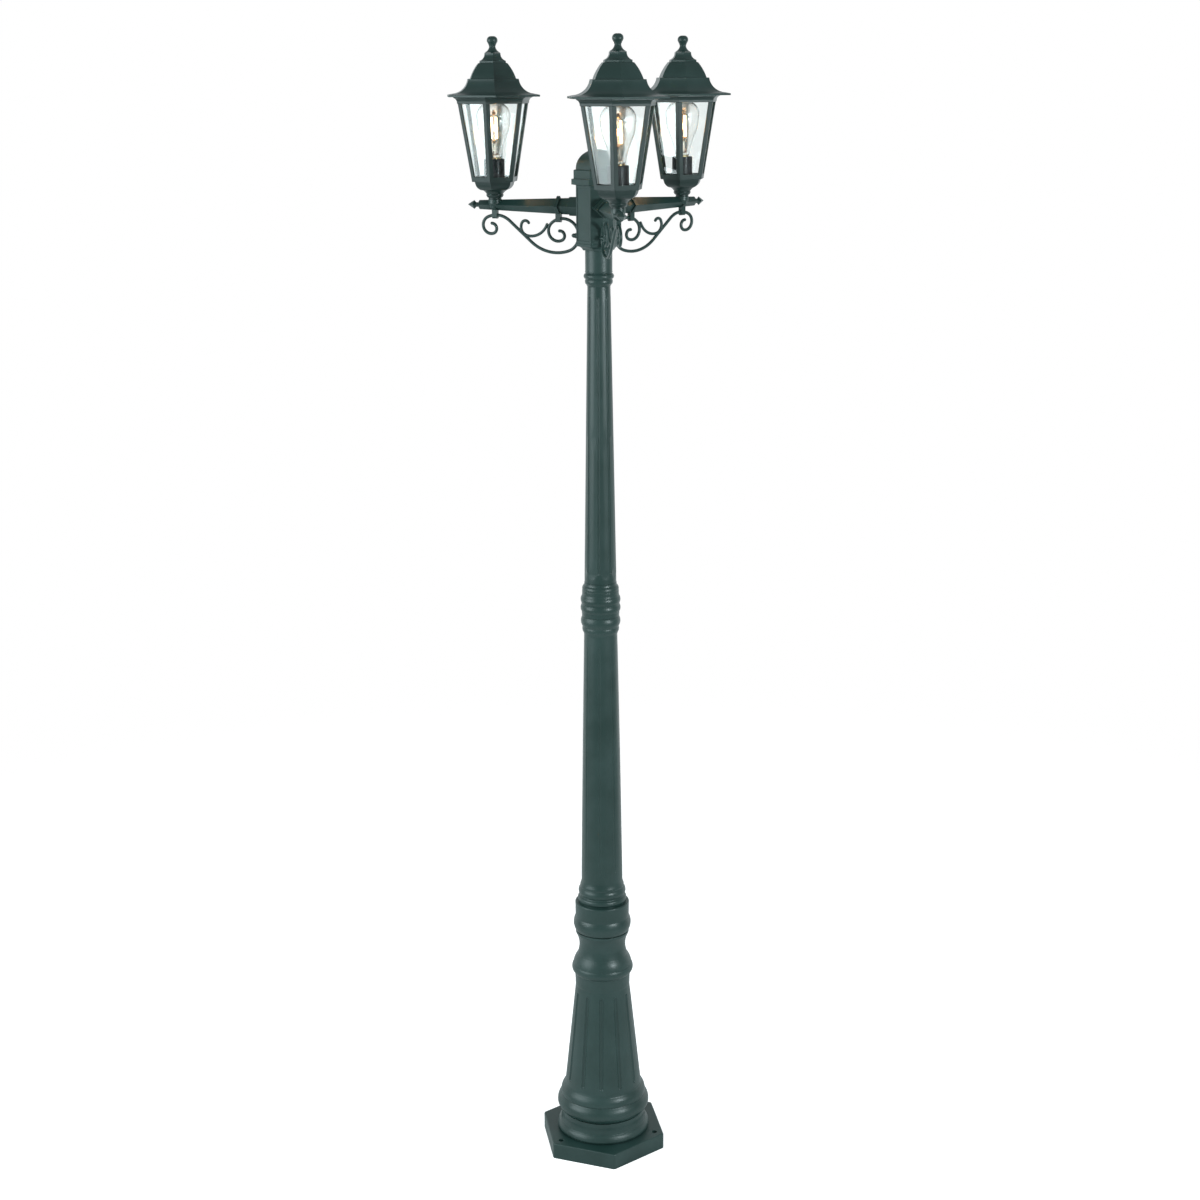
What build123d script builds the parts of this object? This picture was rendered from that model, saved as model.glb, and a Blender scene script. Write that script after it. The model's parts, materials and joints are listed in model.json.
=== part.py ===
from build123d import *
import math
import os

# A garden lamp post, standing on a hexagonal foot, with three hexagonal lanterns on scrolled arms.
# Millimetres and degrees. Z is up from the ground, and the post's axis is the Z axis.
# The front arm points along -Y. Azimuths turn from -Y towards +X.

os.makedirs("parts", exist_ok=True)

# ---------------------------------------------------------------- driving sizes
# Clearances
slip = 0.3                      # between pieces that slide or turn on each other
seat_gap = 0.2                  # round a spigot in its socket
wall = 5.0                      # thickness of the column castings

# Arms and lanterns around the post
arm_count = 3
arm_reach = 215.0               # post axis to lantern axis

# Foot plate and plinth
plate_corner_radius = 138.0     # axis to a corner of the hexagon
plate_thickness = 34.0
plate_edge_round = 3.0
plate_corner_round = 7.0
anchor_circle_radius = 116.5
anchor_hole_radius = 5.5
plinth_height = 44.0
plinth_radius = 98.0
plinth_top_radius = 89.0
plinth_lip_rise = 6.0            # the plate up to the plinth's widest line
plinth_lip_height = 13.0        # from there up to the crease over the rounded lip
plinth_lip_draw = 7.4           # how much narrower the plinth is at the crease
plinth_flange = 16.0            # thickness of the inner flange that carries the column
cable_entry_radius = 68.0

# Fluted pedestal
pedestal_height = 411.0         # plinth seam to collar seam
foot_bead_radius = 97.5
foot_groove_radius = 88.6
foot_groove_height = 36.5
cone_bottom_radius = 80.6
cone_bottom_height = 62.0
cone_top_radius = 56.8
cone_top_height = 287.0
ovolo_radius = 64.2
ovolo_height = 323.0
neck_radius = 48.5
neck_height = 374.0
seam_depth = 4.0                # the dark shadow gaps under the pedestal and the collar
seam_height = 2.4
cone_flute_count = 12
cone_flute_turn = 17.5          # first flute's azimuth from the front arm
cone_flute_radius = 5.5
cone_flute_depth = 2.6
cone_flute_margin = 16.0        # plain cone left above and below each flute

# Locking collar
collar_height = 65.0
collar_radius = 56.0
collar_bead_radius = 60.0
collar_bead_height = 17.0
collar_skirt = 20.0             # how far it reaches down over the pedestal's neck

# Lower shaft
lower_shaft_height = 619.0
lower_shaft_bottom_radius = 42.7
lower_shaft_top_radius = 33.7
lower_shaft_swell = 0.4
shaft_flute_count = 8
shaft_flute_turn = -15.0
lower_flute_radius = 3.5
lower_flute_depth = 0.7
ring_bulge = 2.6                # how far the column's beads stand out

# Middle collar
middle_collar_height = 70.0
middle_collar_radius = 38.0

# Upper shaft
upper_shaft_height = 590.0
upper_shaft_bottom_radius = 31.9
upper_shaft_top_radius = 22.4
upper_flute_radius = 3.2
upper_flute_depth = 1.7
upper_flute_margin = 22.0

# Top collar, the round neck under the hub
top_collar_height = 69.0
top_collar_radius = 26.3
spigot_length = 18.0
rod_passage_radius = 12.0       # least bore inside the column

# Hub
hub_height = 135.0
hub_corner_radius = 43.5
hub_wall = 4.0
hub_foot_height = 8.0
hub_floor = 8.0
hub_moulding_radius = 52.2
hub_moulding_height = 12.0
hub_panel_depth = 1.0           # the sunk panels on the faces without an arm
hub_panel_side = 3.4            # panel edge in from the hub's corner
hub_panel_end = 5.0
cap_band_radius = 47.8
cap_band_height = 17.0
cap_dome_radius = 43.3
cap_height = 55.0
cap_wall = 3.0
cap_skirt = 11.0
cap_screw_radius = 2.0
arm_axis_height = 81.5          # hub's foot to the arms' axis

# Arms: square bars set on edge, tapering outwards
arm_root_half = 18.2            # axis to an edge of the bar, at the root collar
arm_root_length = 22.0
arm_inner_half = 15.8
arm_outer_half = 8.8
arm_end_reach = 248.0
arm_bore_radius = 4.6
arm_spigot_radius = 8.0
arm_nut_width = 24.0
arm_nut_thickness = 5.0
boss_radius = 13.0
boss_height = 11.0              # arm axis to the lantern's seat
tip_neck_half = 4.4
tip_neck_length = 8.0
tip_shoulder_half = 8.6
tip_length = 24.0

# Scroll brackets of bent round bar
rod_radius = 3.1
scroll_touch_drop = 55.4        # arm axis down to where the scroll meets the hub
accent_rod_radius = 2.9
scroll_root_radius = 31.4       # the bar's bends, outwards from where it meets the hub
inner_bow_radius = 34.2
inner_turn_radius = 19.7
inner_eye_radius = 9.4
outer_belly_radius = 80.3
outer_straight = 59.8
outer_bow_radius = 43.0
outer_turn_radius = 16.8
outer_eye_radius = 9.9
accent_reach = 144.8            # the small scroll's free end
accent_drop = 32.9
accent_eye_radius = 8.05
accent_turn_radius = 16.9
accent_tail_radius = 36.2
accent_heading = 60.0
strap_length = 10.6
strap_band_width = 7.0
strap_thickness = 2.8
strap_stem_width = 9.0
strap_foot = 3.2                # metal below the rod in the strap
inner_strap_reach = 82.0
outer_strap_reach = 215.0
inner_rod_drop = 24.3           # arm axis down to the bar in each strap
outer_rod_drop = 19.8
scroll_bolt_radius = 2.5
scroll_nut_radius = 5.2
scroll_nut_length = 11.0

# Lantern cup
cup_bead_radius = 16.0
cup_lower_radius = 24.0
cup_lower_height = 17.5
cup_bowl_radius = 30.0           # corner radius of the six-sided bowl's foot
cup_step_radius = 37.5
cup_height = 34.0
cup_neck_radius = 12.6
cup_floor = 24.0
lantern_turn = -18.0            # hexagon corner of the cage, from the arm's direction

# Lantern cage
cage_height = 160.0
cage_bottom_radius = 46.3
cage_top_radius = 71.8
cage_wall = 3.0
cage_bar = 7.8                  # bar's width on each side of a corner
bottom_rail = 9.5
top_rail = 13.0
cornice_radius = 80.5
cage_mouth_radius = 58.0

# Panes
pane_thickness = 2.0
pane_lap = 3.0                  # how far a pane reaches behind its bars
pane_gap = 0.2

# Roof
roof_turn = -4.0
eave_radius = 100.5
eave_thickness = 4.2
eave_slope = 11.0               # how far the eave's sloping top runs in
roof_flare_height = 28.8        # eave to the ledge
ledge_radius = 55.6
dome_foot_radius = 50.0
dome_top_radius = 31.9
dome_height = 29.0
crown_radius = 28.4
crown_upper_radius = 17.5
crown_step = 4.5
crown_height = 19.0
roof_wall = 2.6

# Finial and its stud
finial_foot_radius = 14.2
finial_neck_radius = 6.0
finial_neck_height = 11.5
finial_ball_radius = 10.3
finial_height = 30.5
stud_radius = 3.0
stud_reach = 12.0               # how far the stud enters the finial
bridge_width = 14.0
bridge_thickness = 3.0

# Lampholder and bulb
holder_radius = 19.5
holder_height = 49.0
holder_base = 14.0
stem_radius = 5.0
stem_bore = 3.4
cap_thread_radius = 13.2
bulb_cap_height = 25.0
bulb_radius = 32.0
bulb_height = 103.0
bulb_neck_radius = 14.6
glass_wall = 1.0
filament_radius = 0.8
filament_length = 46.0
filament_count = 4
filament_circle = 7.0

# Wiring and the tie rod
lead_radius = 1.8
lead_bend = 8.0
tie_rod_radius = 5.0
nut_width = 17.0
nut_thickness = 8.0
washer_radius = 11.0
washer_thickness = 2.0
anchor_bar_width = 30.0
anchor_bar_thickness = 10.0
bracket_thickness = 2.0
bracket_width = 20.0
terminal_size = 24.0
terminal_height = 14.0
terminal_drop = 12.0            # arm axis down to the top of the terminal block

# ---------------------------------------------------------------- places up the post
plinth_top = plate_thickness + plinth_height
pedestal_top = plinth_top + pedestal_height
collar_top = pedestal_top + collar_height
lower_shaft_top = collar_top + lower_shaft_height
middle_collar_top = lower_shaft_top + middle_collar_height
upper_shaft_top = middle_collar_top + upper_shaft_height
hub_foot = upper_shaft_top + top_collar_height
hub_top = hub_foot + hub_height
arm_axis = hub_foot + arm_axis_height
lantern_seat = arm_axis + boss_height
hub_face = hub_corner_radius * math.cos(math.radians(30))
roof_seat = cup_height + cage_height
roof_top = roof_seat + eave_thickness + roof_flare_height + dome_height + crown_height
lead_top = boss_height + cup_floor + 4


def azimuth_of(index):
    """Azimuth of arm number 0, 1 or 2, from the front towards +X."""
    return 360 / arm_count * index


names = {0: "front", 1: "right", 2: "left"}


# ---------------------------------------------------------------- shape helpers
def side_edges(profile):
    """The edges right of the Z axis. Each step is (radius, height) or (radius, height, bulge of an arc)."""
    edges = []
    for start, step in zip(profile, profile[1:]):
        first = Vector(start[0], 0, start[1])
        last = Vector(step[0], 0, step[1])
        if len(step) > 2:
            along = (last - first).normalized()
            middle = (first + last) / 2 + Vector(along.Z, 0, -along.X) * step[2]
            edges.append(Edge.make_three_point_arc(first, middle, last))
        else:
            edges.append(Edge.make_line(first, last))
    return edges


def turned(profile):
    """A round solid."""
    low = (0, 0, profile[0][1])
    high = (0, 0, profile[-1][1])
    edges = [Edge.make_line(low, (profile[0][0], 0, profile[0][1]))] + side_edges(profile)
    edges.append(Edge.make_line((profile[-1][0], 0, profile[-1][1]), high))
    edges.append(Edge.make_line(high, low))
    return revolve(Face(Wire(edges)), Axis.Z)


def faceted(profile, turn=0.0):
    """A six-sided solid. The profile gives its corners, and turn is a corner's angle from +X."""
    shrink = math.cos(math.radians(30))
    flat = [(step[0] * shrink, *step[1:]) for step in profile]
    right = side_edges(flat)
    low, high = flat[0], flat[-1]
    top = Edge.make_line((high[0], 0, high[1]), (-high[0], 0, high[1]))
    bottom = Edge.make_line((-low[0], 0, low[1]), (low[0], 0, low[1]))
    left = [edge.mirror(Plane.YZ) for edge in reversed(right)]
    outline = Face(Wire(right + [top] + left + [bottom]))
    slab = extrude(outline, 2 * max(step[0] for step in profile), dir=(0, 1, 0), both=True)
    solid = slab & slab.rotate(Axis.Z, 60) & slab.rotate(Axis.Z, 120)
    return solid.rotate(Axis.Z, turn + 30)


def tube(outer, bore):
    """A round casting with a bore of its own profile."""
    return turned(outer) - turned(bore)


def cylinder(radius, low, high):
    """An upright cylinder on the Z axis between two heights."""
    return turned([(radius, low), (radius, high)])


def hexagon(across, low, high):
    """An upright hexagonal nut blank."""
    corner = across / 2 / math.cos(math.radians(30))
    return faceted([(corner, low), (corner, high)])


def lay_outwards(solid):
    """Turns an upright solid so that up becomes outwards, along +X."""
    return solid.rotate(Axis.Y, 90)


def diamond(half_in, half_out, start, end):
    """A square bar on edge, along +X, tapering between two reaches."""
    ends = [
        Plane(origin=(start, 0, 0), x_dir=(0, 1, 0), z_dir=(1, 0, 0)) * RegularPolygon(half_in, 4),
        Plane(origin=(end, 0, 0), x_dir=(0, 1, 0), z_dir=(1, 0, 0)) * RegularPolygon(half_out, 4),
    ]
    return loft(ends, ruled=True)


def arm_half_at(reach):
    """Axis to edge of an arm's bar at a reach."""
    root_end = hub_face + arm_root_length
    share = (reach - root_end) / (arm_end_reach - root_end)
    return arm_inner_half + (arm_outer_half - arm_inner_half) * share


def at_arm(solid, index):
    """Takes a solid from an arm's own frame, outwards along +X from the post axis, to its place."""
    return solid.rotate(Axis.Z, azimuth_of(index) - 90).moved(Location((0, 0, arm_axis)))


def at_lantern(solid, index):
    """Takes a solid from a lantern's own frame, on its axis and seat, to its place."""
    return at_arm(solid.moved(Location((arm_reach, 0, boss_height))), index)


def arcs(start, heading, bends):
    """A chain of tangent arcs in the XZ plane. Each bend is (radius, angle), or (length, 0) straight."""
    edges = []
    point = Vector(start[0], 0, start[1])
    for size, angle in bends:
        ahead = Vector(math.cos(math.radians(heading)), 0, math.sin(math.radians(heading)))
        if angle:
            side = math.copysign(1, angle)
            left = Vector(-ahead.Z, 0, ahead.X) * side
            centre = point + left * size
            reached = []
            for part in (0.5, 1.0):
                turned_by = math.radians(heading + angle * part)
                out = Vector(math.sin(turned_by), 0, -math.cos(turned_by)) * side
                reached.append(centre + out * size)
            edges.append(Edge.make_three_point_arc(point, *reached))
            point = reached[1]
            heading += angle
        else:
            edges.append(Edge.make_line(point, point + ahead * size))
            point = point + ahead * size
    return edges


def rod(edges, radius):
    """Round bar bent along a chain of edges, with rounded ends."""
    path = Wire(edges)
    start = path @ 0
    section = Plane(origin=start, z_dir=path % 0) * Circle(radius)
    bar = sweep(section, path=path)
    for end in (path @ 0, path @ 1):
        bar = bar + Sphere(radius).moved(Location(end))
    return bar


def fluted(solid, count, turn, low, high, radius_low, radius_high, flute_radius, depth):
    """Cuts round-bottomed flutes with rounded ends along a cone's surface."""
    stand_off = flute_radius - depth
    foot = Vector(radius_low + stand_off, 0, low)
    head = Vector(radius_high + stand_off, 0, high)
    cutter = Solid.make_cylinder(flute_radius, (head - foot).length, Plane(origin=foot, z_dir=head - foot))
    cutter = cutter + Sphere(flute_radius).moved(Location(foot)) + Sphere(flute_radius).moved(Location(head))
    for number in range(count):
        solid = solid - cutter.rotate(Axis.Z, turn - 90 + 360 / count * number)
    return solid


def between(low, high, height_low, height_high, height):
    """Straight interpolation of a radius up a tapering piece."""
    return low + (high - low) * (height - height_low) / (height_high - height_low)


written = []


def write(name, *solids):
    """Writes one node, which may hold several separate solids."""
    shape = solids[0] if len(solids) == 1 else Compound(children=list(solids))
    shape.label = name
    export_step(shape, f"parts/{name}.step")
    written.append(name)


# ---------------------------------------------------------------- column castings
def make_foot_plate():
    slab = faceted([(plate_corner_radius, 0), (plate_corner_radius, plate_thickness)], turn=-90)
    corners = slab.edges().filter_by(Axis.Z)
    slab = fillet(corners, plate_corner_round)
    slab = fillet(slab.faces().sort_by(Axis.Z)[-1].edges(), plate_edge_round)
    low_round = plinth_radius - 4.5
    widest = plate_thickness + plinth_lip_rise
    plinth = turned([
        (low_round, plate_thickness - 2),
        (low_round, plate_thickness),
        (plinth_radius, widest, 1.3),
        (plinth_radius - plinth_lip_draw, widest + plinth_lip_height, 1.4),
        (plinth_top_radius, plinth_top - 9, -1.0),
        (plinth_top_radius - 0.4, plinth_top),
    ])
    flange_low = plinth_top - plinth_flange
    hollow = turned([
        (cable_entry_radius, -1),
        (cable_entry_radius, flange_low),
        (neck_radius - wall, flange_low),
        (neck_radius - wall, plinth_top + 1),
    ])
    casting = slab + plinth - hollow
    hole = cylinder(anchor_hole_radius, -1, plate_thickness + 1)
    for number in range(arm_count):
        around = math.radians(azimuth_of(number) + 60 - 90)
        spot = (anchor_circle_radius * math.cos(around), anchor_circle_radius * math.sin(around), 0)
        casting = casting - hole.moved(Location(spot))
    return casting


def make_pedestal():
    spigot_radius = neck_radius - wall - seat_gap
    neck_top = pedestal_height + collar_skirt
    ring_foot = cone_top_height + 4
    ovolo_bulge = 3.1
    outer = [
        (spigot_radius, -spigot_length / 2),
        (spigot_radius, 0),
        (plinth_top_radius - seam_depth, 0),
        (plinth_top_radius - seam_depth, seam_height),
        (plinth_top_radius + 0.6, seam_height),
        (foot_bead_radius, 15, 1.6),
        (foot_groove_radius + 2, foot_groove_height - 2.5, 2.2),
        (foot_groove_radius, foot_groove_height),
        (foot_groove_radius + 1.3, foot_groove_height + 2),
        (foot_groove_radius - 5.2, foot_groove_height + 19.5, 1.9),
        (cone_bottom_radius + 1, cone_bottom_height - 3, -0.3),
        (cone_bottom_radius, cone_bottom_height),
        (cone_top_radius, cone_top_height),
        (cone_top_radius + 0.4, ring_foot),
        (cone_top_radius + 1.8, ring_foot + 24.5, -0.4),
        (cone_top_radius + 3.2, ring_foot + 25.5),
        (ovolo_radius - 2, ovolo_height + 11.5, ovolo_bulge),
        (ovolo_radius - 3.1, ovolo_height + 12.6),
        (ovolo_radius - 2.7, ovolo_height + 13.6),
        (neck_radius + 3.8, neck_height - 17, 1.4),
        (neck_radius, neck_height, -0.6),
        (collar_radius - 0.4, pedestal_height - 5, -2.4),
        (collar_radius, pedestal_height - 0.8),
        (collar_radius - 0.8, pedestal_height),
        (neck_radius, pedestal_height),
        (neck_radius, neck_top),
    ]
    bore = [
        (spigot_radius - wall, -spigot_length / 2 - 1),
        (spigot_radius - wall, 20),
        (cone_bottom_radius - wall - 3, 40),
        (cone_bottom_radius - wall - 3, cone_bottom_height),
        (cone_top_radius - wall - 3, cone_top_height),
        (neck_radius - wall, neck_height - 10),
        (neck_radius - wall, neck_top + 1),
    ]
    casting = tube(outer, bore)
    low = cone_bottom_height + cone_flute_margin
    high = cone_top_height - cone_flute_margin
    cone = (cone_bottom_radius, cone_top_radius, cone_bottom_height, cone_top_height)
    return fluted(casting, cone_flute_count, cone_flute_turn, low, high,
                  between(*cone, low), between(*cone, high), cone_flute_radius, cone_flute_depth)


def make_locking_collar():
    outer = [
        (collar_radius - seam_depth, 0),
        (collar_radius - seam_depth, seam_height),
        (collar_radius - 0.3, seam_height),
        (collar_radius, collar_bead_height - 15),
        (collar_radius, collar_bead_height + 15, collar_bead_radius - collar_radius),
        (collar_radius + 0.3, collar_height - 4),
        (collar_radius - 2, collar_height, 1.1),
    ]
    bore = [
        (neck_radius + seat_gap, -1),
        (neck_radius + seat_gap, collar_skirt),
        (lower_shaft_bottom_radius - wall / 2, collar_skirt),
        (lower_shaft_bottom_radius - wall / 2, collar_height + 1),
    ]
    return tube(outer, bore)


def make_lower_shaft():
    spigot_radius = lower_shaft_bottom_radius - wall / 2 - seat_gap
    foot = lower_shaft_bottom_radius
    taper_low = 54.0
    taper_high = lower_shaft_height - 41
    head = lower_shaft_top_radius + 3.9
    outer = [
        (spigot_radius, -spigot_length),
        (spigot_radius, 0),
        (foot + 5.8, 0),
        (foot + 5.8, 2.4),
        (foot + 6.6, 3),
        (foot + 4.6, 14, ring_bulge),
        (foot + 3.9, 17, -0.5),
        (foot + 3.9, 32, ring_bulge),
        (foot + 2.6, 33.5),
        (foot + 2.2, 40, 0.6),
        (foot, taper_low, -0.9),
        (lower_shaft_top_radius, taper_high, lower_shaft_swell),
        (head - 1.6, taper_high + 9, -0.8),
        (head - 1.2, taper_high + 19, 1.1),
        (head - 0.4, taper_high + 21),
        (head, lower_shaft_height - 1, ring_bulge),
        (head - 0.8, lower_shaft_height, 0.2),
    ]
    bore_top = upper_shaft_bottom_radius - wall + seat_gap
    bore = [
        (spigot_radius - wall, -spigot_length - 1),
        (spigot_radius - wall, 40),
        (bore_top, taper_high),
        (bore_top, lower_shaft_height + 1),
    ]
    casting = tube(outer, bore)
    low = taper_low + upper_flute_margin
    high = taper_high - upper_flute_margin
    shaft = (lower_shaft_bottom_radius, lower_shaft_top_radius, taper_low, taper_high)
    return fluted(casting, shaft_flute_count, shaft_flute_turn, low, high,
                  between(*shaft, low), between(*shaft, high), lower_flute_radius, lower_flute_depth)


def make_middle_collar():
    body = middle_collar_radius
    spigot_radius = upper_shaft_bottom_radius - wall
    outer = [
        (spigot_radius, -spigot_length),
        (spigot_radius, 0),
        (body - 1.2, 0),
        (body - 0.4, 1, 0.2),
        (body + 0.2, 10),
        (body + 0.4, 24, ring_bulge - 0.6),
        (body + 0.5, 28),
        (body - 0.2, 42, ring_bulge - 0.6),
        (body - 0.9, 46),
        (body - 0.9, 53),
        (body - 1.6, 54),
        (upper_shaft_bottom_radius + 1.8, middle_collar_height - 6, 1.6),
        (upper_shaft_bottom_radius + 0.6, middle_collar_height, -0.4),
    ]
    socket = upper_shaft_bottom_radius - wall / 2 + seat_gap
    bore = [
        (spigot_radius - wall, -spigot_length - 1),
        (spigot_radius - wall, middle_collar_height - spigot_length),
        (socket, middle_collar_height - spigot_length),
        (socket, middle_collar_height + 1),
    ]
    return tube(outer, bore)


def make_upper_shaft():
    spigot_radius = upper_shaft_bottom_radius - wall / 2
    plain = 30.0
    outer = [
        (spigot_radius, -spigot_length),
        (spigot_radius, 0),
        (upper_shaft_bottom_radius, 0),
        (upper_shaft_bottom_radius, plain - 20),
        (upper_shaft_top_radius, upper_shaft_height),
    ]
    top_bore = upper_shaft_top_radius - wall
    bore = [
        (spigot_radius - wall, -spigot_length - 1),
        (spigot_radius - wall, plain),
        (top_bore, upper_shaft_height - 2 * spigot_length),
        (top_bore, upper_shaft_height + 1),
    ]
    casting = tube(outer, bore)
    low = upper_flute_margin
    high = upper_shaft_height - upper_flute_margin
    shaft = (upper_shaft_bottom_radius, upper_shaft_top_radius, 10, upper_shaft_height)
    return fluted(casting, shaft_flute_count, shaft_flute_turn, low, high,
                  between(*shaft, low), between(*shaft, high), upper_flute_radius, upper_flute_depth)


def make_top_collar():
    spigot_radius = upper_shaft_top_radius - wall - seat_gap
    body = top_collar_radius
    outer = [
        (spigot_radius, -spigot_length),
        (spigot_radius, 0),
        (upper_shaft_top_radius + 0.3, 0),
        (body - 0.3, 5, -0.5),
        (body, 13, 0.9),
        (body - 0.4, 14),
        (body - 0.4, 25, ring_bulge + 1),
        (body - 0.4, 26),
        (body, 29, 0.6),
        (body, top_collar_height),
    ]
    socket = body - wall + seat_gap
    bore = [
        (rod_passage_radius, -spigot_length - 1),
        (rod_passage_radius, top_collar_height - spigot_length),
        (socket, top_collar_height - spigot_length),
        (socket, top_collar_height + 1),
    ]
    return tube(outer, bore)


# ---------------------------------------------------------------- hub
def make_hub_body():
    moulding_low = hub_height - hub_moulding_height
    outer = faceted([
        (top_collar_radius * 1.16, 0),
        (hub_corner_radius - 1.2, hub_foot_height, -2.0),
        (hub_corner_radius + 0.8, hub_foot_height),
        (hub_corner_radius + 0.8, hub_foot_height + 5),
        (hub_corner_radius, hub_foot_height + 6),
        (hub_corner_radius, moulding_low),
        (hub_moulding_radius, moulding_low + 1.5),
        (hub_moulding_radius, hub_height),
    ])
    floor_top = hub_foot_height + hub_floor
    cavity = faceted([
        (hub_corner_radius - hub_wall / math.cos(math.radians(30)), floor_top),
        (hub_corner_radius - hub_wall / math.cos(math.radians(30)), hub_height + 1),
    ])
    spigot = cylinder(top_collar_radius - wall, -spigot_length, 1)
    body = outer + spigot - cavity
    body = body - cylinder(rod_passage_radius, -spigot_length - 1, hub_foot_height)
    body = body - cylinder(tie_rod_radius + slip, 0, floor_top + 1)
    wire_hole = cylinder(3.0, -1, floor_top + 1).moved(Location((0, rod_passage_radius - 3.2, 0)))
    body = body - wire_hole
    arm_hole = cylinder(arm_spigot_radius + seat_gap, hub_face - 2 * hub_wall, hub_corner_radius + 5)
    arm_hole = lay_outwards(arm_hole).moved(Location((0, 0, arm_axis_height)))
    screw_hole = cylinder(cap_screw_radius + 0.1, hub_face - 2 * hub_wall, hub_moulding_radius + 5)
    screw_hole = lay_outwards(screw_hole).moved(Location((0, 0, hub_height - hub_moulding_height / 2)))
    panel_low = hub_foot_height + 6 + hub_panel_end
    panel_high = moulding_low - hub_panel_end
    panel = Box(2 * hub_panel_depth, hub_corner_radius - 2 * hub_panel_side, panel_high - panel_low)
    panel = panel.moved(Location((hub_face, 0, (panel_low + panel_high) / 2)))
    for index in range(arm_count):
        body = body - arm_hole.rotate(Axis.Z, azimuth_of(index) - 90)
        body = body - panel.rotate(Axis.Z, azimuth_of(index) - 90 + 180 / arm_count)
        if index:
            body = body - screw_hole.rotate(Axis.Z, azimuth_of(index) - 90)
    return body


def make_hub_cap():
    outer = faceted([
        (cap_band_radius, 0),
        (cap_band_radius, cap_band_height - 1),
        (cap_band_radius - 1, cap_band_height),
        (cap_dome_radius + 0.8, cap_band_height),
        (cap_dome_radius, cap_band_height + 2.5),
        (cap_dome_radius * 0.4, cap_height - 3, 6.2),
        (0.5, cap_height, 0.5),
    ])
    skirt_corner = hub_corner_radius - (hub_wall + seat_gap) / math.cos(math.radians(30))
    skirt = faceted([(skirt_corner, -cap_skirt), (skirt_corner, 1)])
    hollow_corner = skirt_corner - cap_wall / math.cos(math.radians(30))
    hollow = faceted([
        (hollow_corner, -cap_skirt - 1),
        (hollow_corner, cap_band_height),
        (cap_dome_radius * 0.3, cap_height - 3 - 2 * cap_wall, 4.0),
    ])
    cap = outer + skirt - hollow
    hole = cylinder(cap_screw_radius + 0.1, hub_face - 3 * hub_wall, hub_moulding_radius)
    hole = lay_outwards(hole).moved(Location((0, 0, -hub_moulding_height / 2)))
    for index in (1, 2):
        cap = cap - hole.rotate(Axis.Z, azimuth_of(index) - 90)
    return cap


def make_cap_screws():
    depth = hub_face - hub_wall - cap_wall
    face = hub_moulding_radius * math.cos(math.radians(30))
    screw = lay_outwards(cylinder(cap_screw_radius, depth, face - 0.6))
    socket = lay_outwards(hexagon(2.0, face - 2.6, face))
    screw = (screw - socket).moved(Location((0, 0, hub_top - hub_moulding_height / 2)))
    return [screw.rotate(Axis.Z, azimuth_of(index) - 90) for index in (1, 2)]


# ---------------------------------------------------------------- tie rod and wiring inside
def make_anchor_bar():
    bar_top = plinth_top - plinth_flange
    length = 2 * (cable_entry_radius - 3)
    bar = Box(anchor_bar_width, length, anchor_bar_thickness)
    bar = fillet(bar.edges().filter_by(Axis.Z), anchor_bar_width / 4)
    bar = bar.moved(Location((0, 0, bar_top - anchor_bar_thickness / 2)))
    return bar - cylinder(tie_rod_radius + slip, 0, bar_top + 1)


rod_nut_low = plinth_top - plinth_flange - anchor_bar_thickness - washer_thickness
hub_floor_top = hub_foot + hub_foot_height + hub_floor
bracket_seat = hub_floor_top + bracket_thickness
rod_low = rod_nut_low - nut_thickness - 4
rod_high = bracket_seat + washer_thickness + nut_thickness + 4


def make_tie_rod():
    rod_solid = cylinder(tie_rod_radius, rod_low, rod_high)
    return chamfer(rod_solid.edges(), 1.0)


def make_tie_rod_nuts():
    pieces = []
    for low, sign in ((rod_nut_low, -1), (bracket_seat, 1)):
        washer_high = low + sign * washer_thickness
        nut_high = washer_high + sign * nut_thickness
        hole = cylinder(tie_rod_radius + 0.05, rod_low - 1, rod_high + 1)
        pieces.append(cylinder(washer_radius, min(low, washer_high), max(low, washer_high)) - hole)
        pieces.append(hexagon(nut_width, min(washer_high, nut_high), max(washer_high, nut_high)) - hole)
    return pieces


def make_terminal_bracket():
    block_low = arm_axis - terminal_drop - terminal_height
    side = 15.0
    base = Box(2 * side, bracket_width, bracket_thickness)
    base = base.moved(Location((0, 0, bracket_seat - bracket_thickness / 2)))
    base = base - cylinder(tie_rod_radius + slip, bracket_seat - 10, bracket_seat + 10)
    tall = block_low - (bracket_seat - bracket_thickness)
    upright = Box(bracket_thickness, bracket_width, tall)
    upright = upright.moved(Location((side - bracket_thickness / 2, 0, block_low - tall / 2)))
    shelf = Box(2 * side - 4, bracket_width, bracket_thickness)
    shelf = shelf.moved(Location((2, 0, block_low - bracket_thickness / 2)))
    return base + upright + shelf


def make_terminal_block():
    top = arm_axis - terminal_drop
    block = Box(terminal_size, bracket_width, terminal_height)
    block = block.moved(Location((0, 0, top - terminal_height / 2)))
    for index in range(arm_count):
        entry = cylinder(lead_radius + 0.3, top - 5, top + 1).moved(Location((lead_start, 0, 0)))
        block = block - entry.rotate(Axis.Z, azimuth_of(index) - 90)
    return block


lead_start = 6.0


def make_arm_lead(index):
    foot = -terminal_drop - 4
    level = arm_reach - 2 * lead_bend - lead_start
    edges = arcs((lead_start, foot), 90, [
        (-lead_bend - foot, 0),
        (lead_bend, -90),
        (level, 0),
        (lead_bend, 90),
        (lead_top - lead_bend, 0),
    ])
    path = Wire(edges)
    section = Plane(origin=path @ 0, z_dir=path % 0) * Circle(lead_radius)
    return at_arm(sweep(section, path=path), index)


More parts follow.
